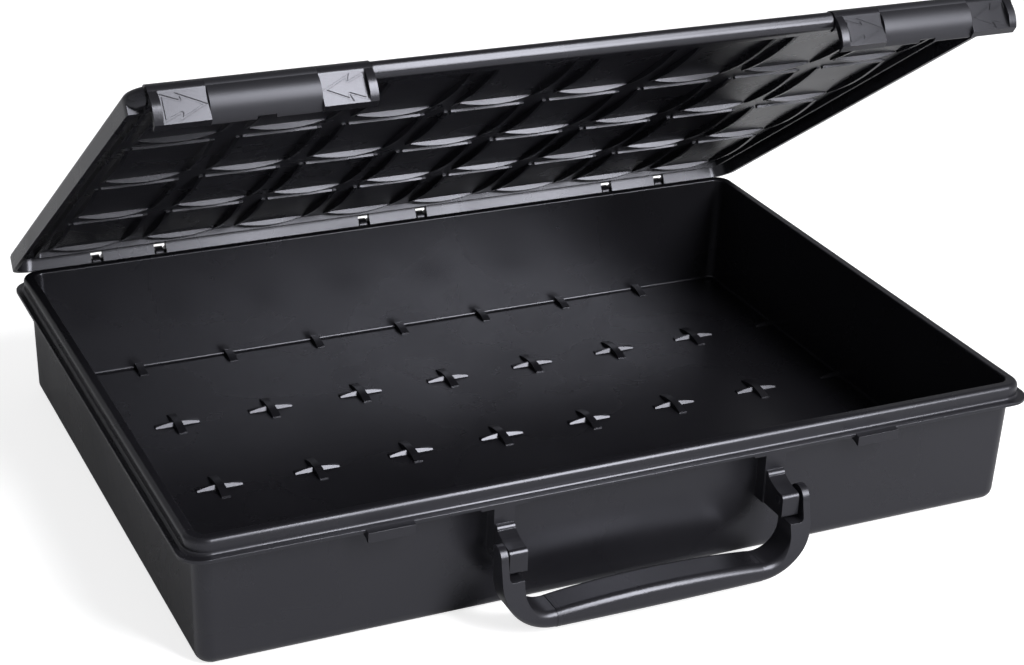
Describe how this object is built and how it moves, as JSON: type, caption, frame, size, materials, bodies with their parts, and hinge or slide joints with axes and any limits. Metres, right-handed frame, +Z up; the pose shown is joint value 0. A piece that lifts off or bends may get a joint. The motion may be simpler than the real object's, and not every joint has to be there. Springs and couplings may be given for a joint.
{
  "type": "compartment storage box",
  "caption": "Portable black plastic assorter case: open tray with a locating grid on the floor, hinged ribbed lid, snap latches and a swinging bail handle.",
  "frame": {"origin": "centre of the tray's flat underside", "axes": "+X to the right along the hinge line, +Y from the handle side to the hinge side, +Z up"},
  "size_m": [0.337, 0.264, 0.1932],
  "materials": {
    "case_plastic": "satin black moulded plastic, fine spark texture",
    "latch_plastic": "satin black moulded plastic, smoother than the case",
    "handle_plastic": "satin black moulded plastic, polished by handling"
  },
  "bodies": {
    "tray": {"base_tray": "case_plastic"},
    "lid": {"lid": "case_plastic"},
    "left_latch": {"latch_left": "latch_plastic"},
    "right_latch": {"latch_right": "latch_plastic"},
    "handle": {"handle": "handle_plastic"}
  },
  "joints": [
    {"name": "lid_hinge", "type": "hinge", "parent": "tray", "child": "lid", "pos_m": [0, 0.1222, 0.0486], "axis": [-1, 0, 0], "range_deg": [-34.7, 75]},
    {"name": "latch_left_hinge", "type": "hinge", "parent": "lid", "child": "left_latch", "pos_m": [-0.12515, -0.07523, 0.18945], "axis": [-1, 0, 0], "range_deg": [-8, 65]},
    {"name": "latch_right_hinge", "type": "hinge", "parent": "lid", "child": "right_latch", "pos_m": [0.12515, -0.07523, 0.18945], "axis": [-1, 0, 0], "range_deg": [-8, 65]},
    {"name": "handle_swing", "type": "hinge", "parent": "tray", "child": "handle", "pos_m": [0, -0.1287, 0.0305], "axis": [-1, 0, 0], "range_deg": [-8, 165]}
  ]
}
